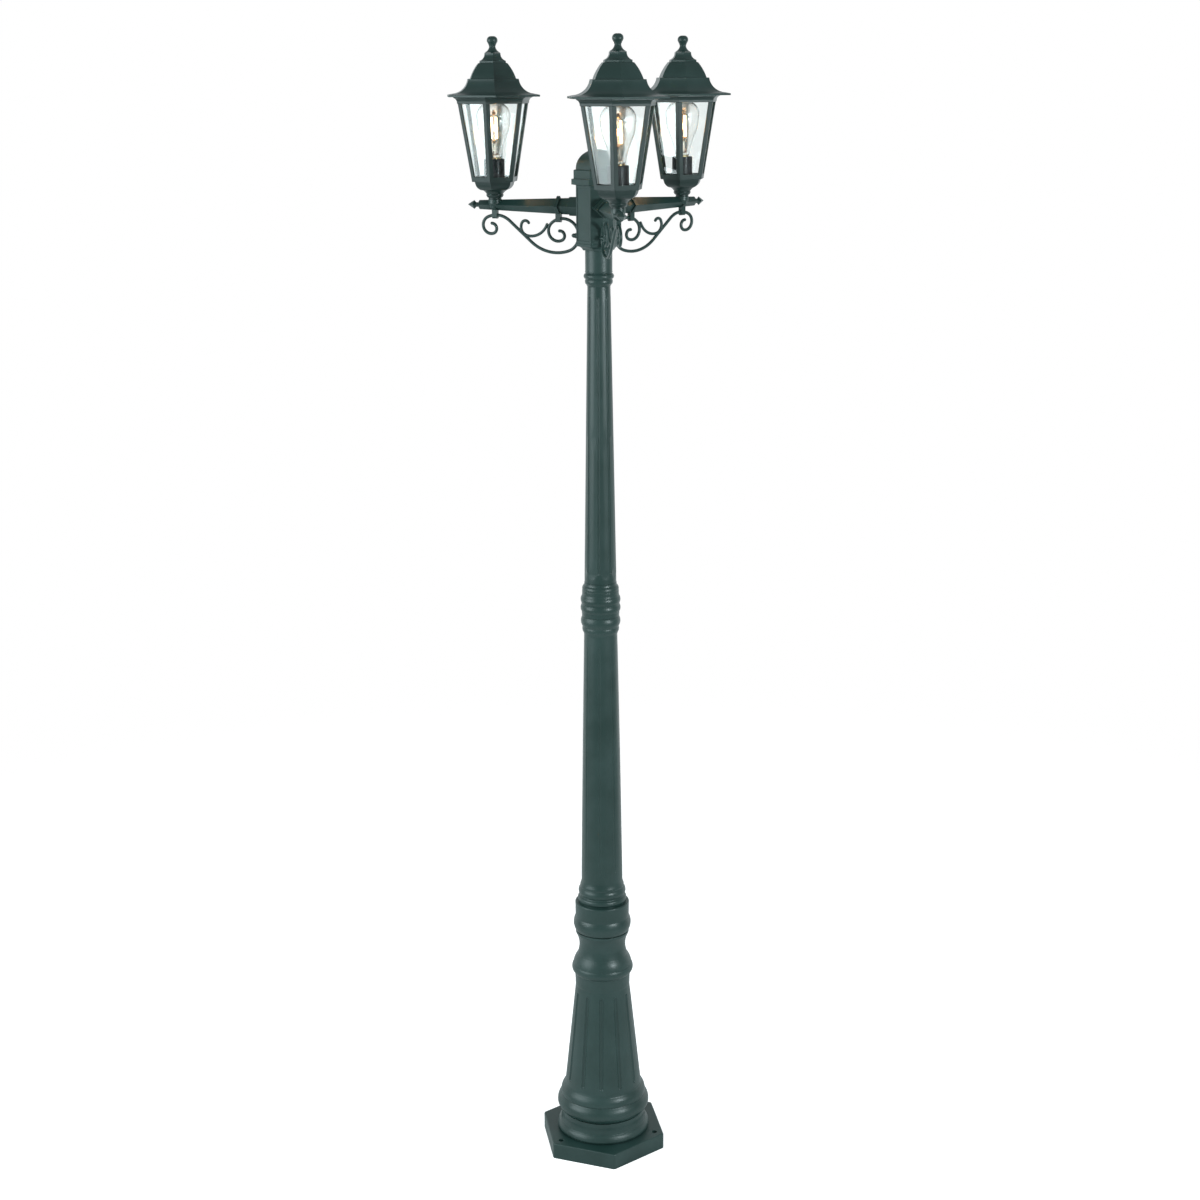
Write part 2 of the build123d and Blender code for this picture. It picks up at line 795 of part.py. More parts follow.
# ---------------------------------------------------------------- arms and scrolls
def make_arm(index):
    root_end = hub_face + arm_root_length
    arm = diamond(arm_root_half, arm_root_half - 0.3, hub_face, root_end)
    arm = arm + diamond(arm_inner_half, arm_outer_half, root_end, arm_end_reach)
    arm = arm + diamond(arm_outer_half, tip_neck_half, arm_end_reach, arm_end_reach + 3)
    boss = turned([
        (boss_radius - 3, -arm_outer_half / 2),
        (boss_radius, 3, -0.6),
        (boss_radius, boss_height),
    ])
    arm = arm + boss.moved(Location((arm_reach, 0, 0)))
    inner_end = hub_face - hub_wall - arm_nut_thickness - 2
    arm = arm + lay_outwards(cylinder(arm_spigot_radius, inner_end, hub_face + 1))
    arm = arm - lay_outwards(cylinder(arm_bore_radius, inner_end - 1, arm_reach + arm_bore_radius))
    arm = arm - cylinder(arm_bore_radius, 0, boss_height + 1).moved(Location((arm_reach, 0, 0)))
    stem_bore_low = arm_bore_radius
    socket = cylinder(stem_radius + 0.1, stem_bore_low, boss_height + 1)
    arm = arm - socket.moved(Location((arm_reach, 0, 0)))
    plug = lay_outwards(cylinder(tip_neck_half - 1.6, arm_end_reach - 8, arm_end_reach + 4))
    return at_arm(arm - plug, index)


def make_arm_tip(index):
    start = arm_end_reach + 3
    shoulder = start + tip_neck_length
    tip = diamond(tip_neck_half, tip_neck_half, start, shoulder - 4)
    tip = tip + diamond(tip_neck_half, tip_shoulder_half, shoulder - 4, shoulder)
    tip = tip + diamond(tip_shoulder_half, 0.6, shoulder, arm_end_reach + tip_length)
    tip = tip + lay_outwards(cylinder(tip_neck_half - 1.8, start - 10, start + 1))
    return at_arm(tip, index)


def make_arm_nut(index):
    outer = hub_face - hub_wall
    nut = hexagon(arm_nut_width, outer - arm_nut_thickness, outer)
    nut = nut - cylinder(arm_spigot_radius + 0.05, outer - 20, outer + 1)
    return at_arm(lay_outwards(nut), index)


def scroll_edges():
    """The S-shaped bar: up from the hub into the inner curl, and down and out to the outer curl."""
    touch = (hub_face + rod_radius, -scroll_touch_drop)
    inner = arcs(touch, 90, [
        (scroll_root_radius, -54), (inner_bow_radius, -79.4),
        (inner_turn_radius, -160.8), (inner_eye_radius, -162.4),
    ])
    outer = arcs(touch, -90, [
        (scroll_root_radius, 72.6), (outer_belly_radius, 58.5), (outer_straight, 0),
        (outer_bow_radius, -66.7), (outer_turn_radius, -169.3), (outer_eye_radius, -164.4),
    ])
    return inner, outer


def make_scroll_bar(radius):
    inner, outer = scroll_edges()
    return rod(inner, radius) + rod(outer, radius)


def make_scroll(index):
    bar = make_scroll_bar(rod_radius)
    hole = lay_outwards(cylinder(scroll_bolt_radius + 0.1, hub_face - 5, hub_face + 20))
    return at_arm(bar - hole.moved(Location((0, 0, -scroll_touch_drop))), index)


def make_accent_scroll(index):
    edges = arcs((accent_reach, -accent_drop), accent_heading, [
        (accent_eye_radius, -121.7), (accent_turn_radius, -106.8), (accent_tail_radius, -80),
    ])
    bar = rod(edges, accent_rod_radius)
    return at_arm(bar - make_scroll_bar(rod_radius + 0.05), index)


def make_strap(index, reach, rod_drop, cut_height):
    """A clip round the arm and the scroll bar, cut away above a height where the lantern's boss stands."""
    half = arm_half_at(reach - strap_length / 2)
    bar_half = half + 0.15
    band_half = bar_half + strap_thickness * math.sqrt(2)
    band = diamond(band_half, band_half, reach - strap_band_width / 2, reach + strap_band_width / 2)
    low = rod_drop + rod_radius + strap_foot
    stem = Box(strap_length, strap_stem_width, low)
    stem = stem.moved(Location((reach, 0, -low / 2)))
    stem = fillet(stem.faces().sort_by(Axis.Z)[0].edges().filter_by(Axis.X), strap_stem_width / 3)
    hole = diamond(bar_half, bar_half, reach - strap_length, reach + strap_length)
    strap = band + stem - hole - make_scroll_bar(rod_radius + 0.1)
    above = Box(2 * strap_length, 4 * arm_root_half, 40).moved(Location((reach, 0, cut_height + 20)))
    return at_arm(strap - above, index)


def make_scroll_bolt(index):
    shank = cylinder(scroll_bolt_radius, hub_face + 0.2, hub_face + 2 * rod_radius + 2)
    base = hub_face + 2 * rod_radius + 0.5
    nut = turned([
        (scroll_nut_radius, base),
        (scroll_nut_radius, base + 3),
        (scroll_nut_radius - 1.4, base + 3.5),
        (1.2, base + scroll_nut_length, 1.6),
    ])
    bolt = lay_outwards(shank + nut).moved(Location((0, 0, -scroll_touch_drop)))
    return at_arm(bolt, index)


def make_stem(index):
    low = arm_bore_radius + 0.2 - boss_height
    stem = cylinder(stem_radius, low, cup_floor + 3.8) - cylinder(stem_bore, low - 1, cup_floor + 5)
    return at_lantern(stem, index)


# ---------------------------------------------------------------- lantern
def cage_corner(height):
    """Corner radius of the cage's outside at a height above the lantern's seat."""
    return between(cage_bottom_radius, cage_top_radius, cup_height, roof_seat - top_rail, height)


def make_cup(index):
    lower = turned([
        (cup_neck_radius, slip),
        (cup_neck_radius, 3),
        (cup_bead_radius, 6, 0.8),
        (cup_bead_radius, 10, 0.9),
        (cup_lower_radius, cup_lower_height, -0.8),
        (cup_lower_radius, cup_lower_height + 2),
    ])
    upper = faceted([
        (cup_lower_radius * 1.12, cup_lower_height),
        (cup_bowl_radius, cup_lower_height + 1),
        (cup_step_radius + 2, cup_height - 5, 1.4),
        (cup_step_radius + 3.5, cup_height),
    ], turn=lantern_turn)
    cup = lower + upper
    cup = cup - cylinder(stem_radius + slip, -1, cup_height)
    cup = cup - cylinder(holder_radius + 1.0, cup_floor, cup_height + 1)
    return at_lantern(cup, index)


def window_cutters(inset, depth_in, depth_out, low, high):
    """Six wedges normal to the cage's faces, inset from the corners by the same width all the way."""
    cutters = []
    shrink = math.cos(math.radians(30))
    sections = []
    for height in (low, high):
        corner = cage_corner(height)
        width = corner - 2 * inset
        middle = corner * shrink - (depth_in - depth_out) / 2
        plate = Rectangle(depth_in + depth_out, width)
        sections.append(Plane(origin=(0, 0, height)) * Pos(middle, 0) * plate)
    wedge = loft(sections, ruled=True)
    for number in range(6):
        cutters.append(wedge.rotate(Axis.Z, lantern_turn + 30 + 60 * number))
    return cutters


def make_cage(index):
    low = cup_height
    rail_low = roof_seat - top_rail
    outer = faceted([
        (cage_bottom_radius, low),
        (cage_corner(rail_low), rail_low),
        (cage_corner(rail_low) + 1.4, rail_low + 0.5),
        (cage_corner(rail_low) + 1.8, rail_low + 4),
        (cornice_radius, roof_seat - 2, -1.4),
        (cornice_radius, roof_seat),
    ], turn=lantern_turn)
    skin = cage_wall / math.cos(math.radians(30))
    inside_low = low + 3
    inner = faceted([
        (cage_corner(inside_low) - skin, inside_low),
        (cage_corner(rail_low) - skin, rail_low),
        (cage_mouth_radius + 4, rail_low + 0.5),
        (cage_mouth_radius, roof_seat - 3),
        (cage_mouth_radius, roof_seat + 1),
    ], turn=lantern_turn)
    cage = outer - inner - cylinder(holder_radius + 1.0, low - 1, low + 5)
    for cutter in window_cutters(cage_bar, 12, 8, low + bottom_rail, rail_low):
        cage = cage - cutter
    return at_lantern(cage, index)


def make_panes(index):
    behind = cage_wall + pane_gap
    return [
        at_lantern(pane, index)
        for pane in window_cutters(cage_bar - pane_lap, behind + pane_thickness, -behind,
                                   cup_height + 3.5, roof_seat - top_rail - 0.5)
    ]


def make_holder(index):
    low = cup_floor
    high = low + holder_height + 4
    holder = turned([
        (holder_radius - 1.5, low + 0.1),
        (holder_radius, low + 1.6, 0.4),
        (holder_radius, high - 1.5),
        (holder_radius - 1.5, high, 0.4),
    ])
    holder = holder - cylinder(cap_thread_radius + slip, high + 2 - bulb_cap_height - slip, high + 1)
    holder = holder - cylinder(stem_radius + slip, low - 1, low + 4.2)
    holder = holder - cylinder(lead_radius + slip, low, low + holder_base + 4)
    return at_lantern(holder, index)


def holder_top():
    return cup_floor + holder_height + 4


def make_bulb_cap(index):
    high = holder_top() + 2
    low = high - bulb_cap_height
    core = cap_thread_radius - 0.9
    steps = [(5.0, low), (6.5, low + 2.0), (core, low + 5)]
    thread_pitch = 3.6
    height = low + 5
    while height + thread_pitch < high - 4:
        steps.append((core, height + thread_pitch, 0.9))
        height += thread_pitch
    steps.append((core + 0.4, high))
    return at_lantern(turned(steps), index)


def glass_profile(inset):
    low = holder_top() + 2
    high = low + bulb_height
    widest = high - bulb_radius
    return [
        (bulb_neck_radius - 2.4 - inset, low + (inset if inset else 0)),
        (bulb_neck_radius - inset, low + 8, 0.5),
        (bulb_radius - 3.4 - inset, widest - 22, -1.2),
        (bulb_radius - inset, widest + 1, 0.8),
        (0.01, high - inset, (bulb_radius - inset) * 0.292 * math.sqrt(2)),
    ]


def make_bulb_glass(index):
    glass = turned(glass_profile(0)) - turned(glass_profile(glass_wall))
    return at_lantern(glass, index)


def make_filaments(index):
    low = holder_top() + 2 + glass_wall
    foot = low + 30
    post_height = foot + filament_length
    stem = turned([(6.0, low), (5.2, low + 6), (3.0, low + 24, -0.8), (2.6, foot - 4), (2.6, foot)])
    stem = stem + cylinder(0.9, foot - 1, post_height + 2)
    disc = cylinder(2.0, post_height, post_height + 2.4)
    wires = stem + disc
    for number in range(filament_count):
        lean = math.radians(360 / filament_count * number + 45)
        bottom = Vector(filament_circle * math.cos(lean), filament_circle * math.sin(lean), foot + 1)
        top = Vector(filament_circle * 0.72 * math.cos(lean), filament_circle * 0.72 * math.sin(lean), post_height)
        strand = Solid.make_cylinder(filament_radius, (top - bottom).length, Plane(origin=bottom, z_dir=top - bottom))
        wires = wires + strand
        for radius_end, height in ((bottom, foot + 0.5), (top, post_height + 1)):
            inner = Vector(0, 0, height)
            outer = Vector(radius_end.X, radius_end.Y, height)
            link = Solid.make_cylinder(0.6, (outer - inner).length + 0.6, Plane(origin=inner, z_dir=outer - inner))
            wires = wires + link
    return at_lantern(wires, index)


def make_bridge(index):
    length = 2 * (cage_mouth_radius + 4.0) * math.cos(math.radians(30))
    bar = Box(length, bridge_width, bridge_thickness)
    bar = bar.moved(Location((0, 0, roof_seat + bridge_thickness / 2)))
    bar = bar.rotate(Axis.Z, lantern_turn + 30)
    return at_lantern(bar + cylinder(stud_radius, roof_seat + 1, roof_top + stud_reach), index)


def roof_profile():
    """The corners of the roof's outside, from the eave up."""
    eave_top = roof_seat + eave_thickness
    ledge = eave_top + roof_flare_height
    dome_top = ledge + dome_height
    top = dome_top + crown_height
    return [
        (eave_radius, roof_seat),
        (eave_radius, eave_top - 0.8),
        (eave_radius - eave_slope, eave_top + 1.2),
        (ledge_radius, ledge, -7.3),
        (dome_foot_radius, ledge + 0.4),
        (dome_top_radius, dome_top, 1.5),
        (crown_radius + 0.4, dome_top + 0.6),
        (crown_radius, dome_top + crown_step),
        (crown_upper_radius, top - 3.0, -2.3),
        (crown_upper_radius - 0.3, top),
    ]


def make_roof(index):
    shell = faceted(roof_profile(), turn=roof_turn)
    eave_top = roof_seat + eave_thickness
    ledge = eave_top + roof_flare_height
    dome_top = ledge + dome_height
    rim = cage_mouth_radius + 8
    hollow = faceted([
        (rim, roof_seat - 1),
        (rim, roof_seat + 10),
        (ledge_radius - 1.3 * roof_wall, ledge - 1.8 * roof_wall, -2.4),
        (dome_foot_radius - 1.3 * roof_wall, ledge),
        (dome_top_radius - 1.4 * roof_wall, dome_top - 1.2 * roof_wall, 1.4),
        (crown_upper_radius - 1.5 * roof_wall, dome_top + crown_step, -0.6),
        (crown_upper_radius - 1.5 * roof_wall, roof_top - 2 * roof_wall),
    ], turn=roof_turn)
    under_eave = cylinder(cornice_radius + 4.0, roof_seat - 1, roof_seat + slip)
    roof = shell - hollow - cylinder(stud_radius + slip, dome_top, roof_top + 1)
    roof = roof - under_eave
    return at_lantern(roof, index)


def make_finial(index):
    low = roof_top + slip
    high = roof_top + finial_height
    neck = roof_top + finial_neck_height
    finial = turned([
        (finial_foot_radius, low),
        (finial_foot_radius, low + 0.8),
        (finial_neck_radius, neck, -1.6),
        (finial_ball_radius - 0.8, high - 10.8, -0.4),
        (finial_ball_radius, high - 7.0, 0.3),
        (0.01, high, 3.2),
    ])
    return at_lantern(finial - cylinder(stud_radius + 0.08, low - 1, roof_top + stud_reach + 1), index)


# ---------------------------------------------------------------- writing the nodes
def lifted(solid, height):
    return solid.moved(Location((0, 0, height)))


write("foot_plate", make_foot_plate())
write("fluted_pedestal", lifted(make_pedestal(), plinth_top))
write("locking_collar", lifted(make_locking_collar(), pedestal_top))
write("lower_shaft", lifted(make_lower_shaft(), collar_top))
write("middle_collar", lifted(make_middle_collar(), lower_shaft_top))
write("upper_shaft", lifted(make_upper_shaft(), middle_collar_top))
write("top_collar", lifted(make_top_collar(), upper_shaft_top))
write("hub_body", lifted(make_hub_body(), hub_foot))
write("hub_cap", lifted(make_hub_cap(), hub_top))
write("hub_cap_screws", *make_cap_screws())
write("anchor_bar", make_anchor_bar())
write("tie_rod", make_tie_rod())
write("tie_rod_nuts", *make_tie_rod_nuts())
write("terminal_bracket", make_terminal_bracket())
write("terminal_block", make_terminal_block())
write("arm_nuts", *[make_arm_nut(index) for index in names])
write("arm_tips", *[make_arm_tip(index) for index in names])
write("arm_leads", *[make_arm_lead(index) for index in names])
write("accent_scrolls", *[make_accent_scroll(index) for index in names])
write("scroll_bolts", *[make_scroll_bolt(index) for index in names])
write("lantern_stems", *[make_stem(index) for index in names])

straps = []
for index in names:
    straps.append(make_strap(index, inner_strap_reach, inner_rod_drop, arm_root_half + 10))
    straps.append(make_strap(index, outer_strap_reach, outer_rod_drop, -arm_outer_half / 2))
write("scroll_straps", *straps)

for index, side in names.items():
    write(f"{side}_arm", make_arm(index))
    write(f"{side}_scroll", make_scroll(index))
    write(f"{side}_cup", make_cup(index))
    write(f"{side}_cage", make_cage(index))
    write(f"{side}_panes", *make_panes(index))
    write(f"{side}_lampholder", make_holder(index))
    write(f"{side}_bulb_cap", make_bulb_cap(index))
    write(f"{side}_bulb_glass", make_bulb_glass(index))
    write(f"{side}_filaments", make_filaments(index))
    write(f"{side}_roof_bridge", make_bridge(index))
    write(f"{side}_roof", make_roof(index))
    write(f"{side}_finial", make_finial(index))

print(len(written), "nodes; height", round(lantern_seat + roof_top + finial_height, 1), "mm")
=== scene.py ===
import json
import math

import bpy
from mathutils import Matrix, Vector

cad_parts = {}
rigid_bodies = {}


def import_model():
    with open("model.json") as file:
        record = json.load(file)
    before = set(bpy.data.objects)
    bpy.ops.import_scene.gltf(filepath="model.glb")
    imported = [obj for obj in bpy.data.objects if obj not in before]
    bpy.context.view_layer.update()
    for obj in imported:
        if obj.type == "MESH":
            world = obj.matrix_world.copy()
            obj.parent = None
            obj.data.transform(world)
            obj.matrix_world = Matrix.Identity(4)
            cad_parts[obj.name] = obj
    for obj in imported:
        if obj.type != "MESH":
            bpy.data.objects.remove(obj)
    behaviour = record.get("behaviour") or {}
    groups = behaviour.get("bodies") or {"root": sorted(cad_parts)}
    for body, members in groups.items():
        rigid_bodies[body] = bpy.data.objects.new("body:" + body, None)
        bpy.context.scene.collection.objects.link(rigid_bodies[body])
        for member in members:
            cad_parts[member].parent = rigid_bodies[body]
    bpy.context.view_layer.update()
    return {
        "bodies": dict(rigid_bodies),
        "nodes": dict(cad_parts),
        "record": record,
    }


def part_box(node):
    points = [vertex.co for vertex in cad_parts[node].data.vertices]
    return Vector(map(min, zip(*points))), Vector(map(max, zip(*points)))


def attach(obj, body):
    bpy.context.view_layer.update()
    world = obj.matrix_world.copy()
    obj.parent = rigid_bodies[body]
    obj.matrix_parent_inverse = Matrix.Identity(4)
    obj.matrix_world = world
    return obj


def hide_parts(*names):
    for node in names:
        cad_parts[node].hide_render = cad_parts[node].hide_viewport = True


# The looks of a garden lamp post with three lanterns. Metres, Z up, the front arm along -Y.

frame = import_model()

SIDES = ("front", "right", "left")

# ---------------------------------------------------------------- camera
FOCAL_PIXELS = 2007.6           # on a picture 1200 pixels wide
PICTURE_PIXELS = 1200
SENSOR = 36.0
CAMERA_DISTANCE = 3.9085        # from the post's axis
CAMERA_HEIGHT = 2.2475
CAMERA_AZIMUTH = -9.6           # degrees, from the front arm towards +X
CAMERA_PITCH = -0.26079         # radians, here and in the next two
CAMERA_YAW = -0.00028
CAMERA_ROLL = -0.0054

# ---------------------------------------------------------------- colours
COAT_GREEN = (0.0130, 0.0385, 0.0335, 1.0)
COAT_PALE = (0.0230, 0.0540, 0.0490, 1.0)
COAT_EDGE = (0.0420, 0.0820, 0.0760, 1.0)
# The post's own powder coat painted darker for the lantern cups and cages: painted shade, where the roofs
# shade them.
LANTERN_SHADED_GREEN = (0.0092, 0.0255, 0.0222, 1.0)
LANTERN_SHADED_PALE = (0.0160, 0.0360, 0.0325, 1.0)
LANTERN_SHADED_EDGE = (0.0300, 0.0560, 0.0510, 1.0)
FLOOR_WHITE = (0.86, 0.86, 0.86, 1.0)
ROOM_TINT = (0.92, 0.98, 1.0, 1.0)
BOX_TINT = (0.84, 0.97, 1.0)
BULB_LIGHT = (1.0, 0.50, 0.20)

# ---------------------------------------------------------------- light
BOX_RIGHT_POWER = 62.0
BOX_LEFT_POWER = 78.0
BOX_DISTANCE = 3.2              # from the post's axis
BOX_AIM_HEIGHT = 0.6
BULB_POWER = 0.16
ROOM_LEVEL = 0.40
BACKDROP_LEVEL = 1.1
BACKDROP_EDGE = 0.1             # how squarely behind the post the backdrop begins, and is full
BACKDROP_FULL = 0.6
BACKDROP_LOW = 0.28             # the sine of the elevation where the backdrop ends, and is gone
BACKDROP_TOP = 0.50
FLOOR_RADIUS = 3.2
FLOOR_FADE = 0.8
FLOOR_LIFT = 0.7


# ---------------------------------------------------------------- small helpers
def deselect():
    bpy.ops.object.select_all(action="DESELECT")


def node_group(name, inputs, outputs):
    """A shader node group with named sockets, each given as (name, type, value)."""
    group = bpy.data.node_groups.new(name, "ShaderNodeTree")
    for label, kind, value in inputs:
        socket = group.interface.new_socket(label, in_out="INPUT", socket_type=kind)
        if value is not None:
            socket.default_value = value
    for label, kind in outputs:
        group.interface.new_socket(label, in_out="OUTPUT", socket_type=kind)
    return group


def add_node(tree, kind, **settings):
    node = tree.nodes.new(kind)
    for key, value in settings.items():
        setattr(node, key, value)
    return node


def new_material(name):
    material = bpy.data.materials.new(name)
    material.use_nodes = True
    tree = material.node_tree
    return material, tree, tree.nodes["Principled BSDF"]


# ---------------------------------------------------------------- effects
EDGE_WIDTH = 0.0012
COAT_WEAR = 0.40                # how far a worn edge takes the edge tone
COAT_CLOUDS = 14.0              # scale of the coat's slow changes of tone
COAT_ROUGH = (0.30, 0.43)
STRAND_LEVEL = 5.5


def build_lived_skin():
    """A fine grain, a slow change of tone and gloss, and worn edges: what no real surface lacks."""
    group = node_group("lived_skin", [
        ("Grain Size", "NodeSocketFloat", 900.0),
        ("Grain Depth", "NodeSocketFloat", 0.3),
        ("Cloud Size", "NodeSocketFloat", 14.0),
        ("Base", "NodeSocketColor", COAT_GREEN),
        ("Pale", "NodeSocketColor", COAT_PALE),
        ("Edge", "NodeSocketColor", COAT_EDGE),
        ("Edge Amount", "NodeSocketFloat", 0.5),
        ("Rough Low", "NodeSocketFloat", 0.30),
        ("Rough High", "NodeSocketFloat", 0.44),
    ], [
        ("Color", "NodeSocketColor"),
        ("Roughness", "NodeSocketFloat"),
        ("Normal", "NodeSocketVector"),
    ])
    link = group.links.new
    given = add_node(group, "NodeGroupInput")
    result = add_node(group, "NodeGroupOutput")
    place = add_node(group, "ShaderNodeTexCoord")
    grain = add_node(group, "ShaderNodeTexNoise")
    grain.inputs["Detail"].default_value = 3.0
    link(place.outputs["Object"], grain.inputs["Vector"])
    link(given.outputs["Grain Size"], grain.inputs["Scale"])
    round_edge = add_node(group, "ShaderNodeBevel", samples=4)
    round_edge.inputs["Radius"].default_value = EDGE_WIDTH
    bump = add_node(group, "ShaderNodeBump")
    bump.inputs["Distance"].default_value = 0.0004
    link(given.outputs["Grain Depth"], bump.inputs["Strength"])
    link(grain.outputs["Fac"], bump.inputs["Height"])
    link(round_edge.outputs["Normal"], bump.inputs["Normal"])
    link(bump.outputs["Normal"], result.inputs["Normal"])
    cloud = add_node(group, "ShaderNodeTexNoise")
    cloud.inputs["Detail"].default_value = 5.0
    link(place.outputs["Object"], cloud.inputs["Vector"])
    link(given.outputs["Cloud Size"], cloud.inputs["Scale"])
    tone = add_node(group, "ShaderNodeMapRange")
    tone.inputs["From Min"].default_value = 0.35
    tone.inputs["From Max"].default_value = 0.70
    link(cloud.outputs["Fac"], tone.inputs["Value"])
    blend = add_node(group, "ShaderNodeMix", data_type="RGBA")
    link(tone.outputs["Result"], blend.inputs["Factor"])
    link(given.outputs["Base"], blend.inputs[6])
    link(given.outputs["Pale"], blend.inputs[7])
    solid = add_node(group, "ShaderNodeNewGeometry")
    square = add_node(group, "ShaderNodeVectorMath", operation="DOT_PRODUCT")
    link(solid.outputs["Normal"], square.inputs[0])
    link(round_edge.outputs["Normal"], square.inputs[1])
    worn = add_node(group, "ShaderNodeMapRange")
    worn.inputs["From Min"].default_value = 0.995
    worn.inputs["From Max"].default_value = 0.90
    link(square.outputs["Value"], worn.inputs["Value"])
    amount = add_node(group, "ShaderNodeMath", operation="MULTIPLY")
    link(worn.outputs["Result"], amount.inputs[0])
    link(given.outputs["Edge Amount"], amount.inputs[1])
    edged = add_node(group, "ShaderNodeMix", data_type="RGBA")
    link(amount.outputs["Value"], edged.inputs["Factor"])
    link(blend.outputs[2], edged.inputs[6])
    link(given.outputs["Edge"], edged.inputs[7])
    link(edged.outputs[2], result.inputs["Color"])
    gloss = add_node(group, "ShaderNodeMapRange")
    gloss.inputs["From Min"].default_value = 0.3
    gloss.inputs["From Max"].default_value = 0.7
    link(given.outputs["Rough Low"], gloss.inputs["To Min"])
    link(given.outputs["Rough High"], gloss.inputs["To Max"])
    link(cloud.outputs["Fac"], gloss.inputs["Value"])
    link(gloss.outputs["Result"], result.inputs["Roughness"])
    return group


LIVED_SKIN = build_lived_skin()


# ---------------------------------------------------------------- materials
def lived_material(name, base, pale, edge, edge_amount, grain_size, grain_depth, cloud_size, rough):
    """A surface whose colour, gloss, edges and grain all come from the shared skin."""
    material, tree, shader = new_material(name)
    skin = add_node(tree, "ShaderNodeGroup", node_tree=LIVED_SKIN)
    skin.inputs["Base"].default_value = base
    skin.inputs["Pale"].default_value = pale
    skin.inputs["Edge"].default_value = edge
    skin.inputs["Edge Amount"].default_value = edge_amount
    skin.inputs["Grain Size"].default_value = grain_size
    skin.inputs["Grain Depth"].default_value = grain_depth
    skin.inputs["Cloud Size"].default_value = cloud_size
    skin.inputs["Rough Low"].default_value = rough[0]
    skin.inputs["Rough High"].default_value = rough[1]
    tree.links.new(skin.outputs["Color"], shader.inputs["Base Color"])
    tree.links.new(skin.outputs["Roughness"], shader.inputs["Roughness"])
    tree.links.new(skin.outputs["Normal"], shader.inputs["Normal"])
    return material, shader


def coat(name, tones, grain_size, grain_depth, shine):
    """Satin dark green powder coat over a casting or a bar, its tones given as base, pale and edge."""
    base, pale, edge = tones
    material, shader = lived_material(
        name, base, pale, edge, COAT_WEAR, grain_size, grain_depth, COAT_CLOUDS, COAT_ROUGH)
    shader.inputs["Specular IOR Level"].default_value = shine
    return material


def metal(name, base, pale, edge, rough):
    """Bare metal."""
    material, shader = lived_material(name, base, pale, edge, 0.6, 1500.0, 0.15, 60.0, rough)
    shader.inputs["Metallic"].default_value = 1.0
    return material


def plastic(name, base, pale, edge, rough, shine):
    """Moulded plastic."""
    material, shader = lived_material(name, base, pale, edge, 0.3, 1800.0, 0.12, 50.0, rough)
    shader.inputs["Specular IOR Level"].default_value = shine
    return material


def clear_glass(name, clean, dusty, haze):
    """Clear glass with the faintest change of tint and haze across it."""
    material, tree, shader = new_material(name)
    place = add_node(tree, "ShaderNodeTexCoord")
    film = add_node(tree, "ShaderNodeTexNoise")
    film.inputs["Scale"].default_value = 35.0
    film.inputs["Detail"].default_value = 4.0
    tree.links.new(place.outputs["Object"], film.inputs["Vector"])
    amount = add_node(tree, "ShaderNodeMapRange")
    amount.inputs["From Min"].default_value = 0.45
    amount.inputs["From Max"].default_value = 0.75
    tree.links.new(film.outputs["Fac"], amount.inputs["Value"])
    tint = add_node(tree, "ShaderNodeMix", data_type="RGBA")
    tint.inputs[6].default_value = clean
    tint.inputs[7].default_value = dusty
    tree.links.new(amount.outputs["Result"], tint.inputs["Factor"])
    tree.links.new(tint.outputs[2], shader.inputs["Base Color"])
    matt = add_node(tree, "ShaderNodeMapRange")
    matt.inputs["To Min"].default_value = haze / 2
    matt.inputs["To Max"].default_value = haze
    tree.links.new(amount.outputs["Result"], matt.inputs["Value"])
    tree.links.new(matt.outputs["Result"], shader.inputs["Roughness"])
    shader.inputs["Transmission Weight"].default_value = 1.0
    shader.inputs["IOR"].default_value = 1.45
    return material


def lit_strand(name):
    """A coated strand of small lamps: brighter at each lamp, warmer between them."""
    material, tree, shader = new_material(name)
    place = add_node(tree, "ShaderNodeTexCoord")
    lamps = add_node(tree, "ShaderNodeTexWave", bands_direction="Z")
    lamps.inputs["Scale"].default_value = 320.0
    tree.links.new(place.outputs["Object"], lamps.inputs["Vector"])
    glow = add_node(tree, "ShaderNodeMix", data_type="RGBA")
    glow.inputs[6].default_value = (1.0, 0.66, 0.33, 1.0)
    glow.inputs[7].default_value = (1.0, 0.80, 0.51, 1.0)
    tree.links.new(lamps.outputs["Fac"], glow.inputs["Factor"])
    tree.links.new(glow.outputs[2], shader.inputs["Base Color"])
    tree.links.new(glow.outputs[2], shader.inputs["Emission Color"])
    shader.inputs["Emission Strength"].default_value = STRAND_LEVEL
    shader.inputs["Roughness"].default_value = 0.5
    return material


POST_TONES = (COAT_GREEN, COAT_PALE, COAT_EDGE)
LANTERN_SHADED_TONES = (LANTERN_SHADED_GREEN, LANTERN_SHADED_PALE, LANTERN_SHADED_EDGE)
CAST_COAT = coat("cast_coat", POST_TONES, 900.0, 0.30, 0.50)
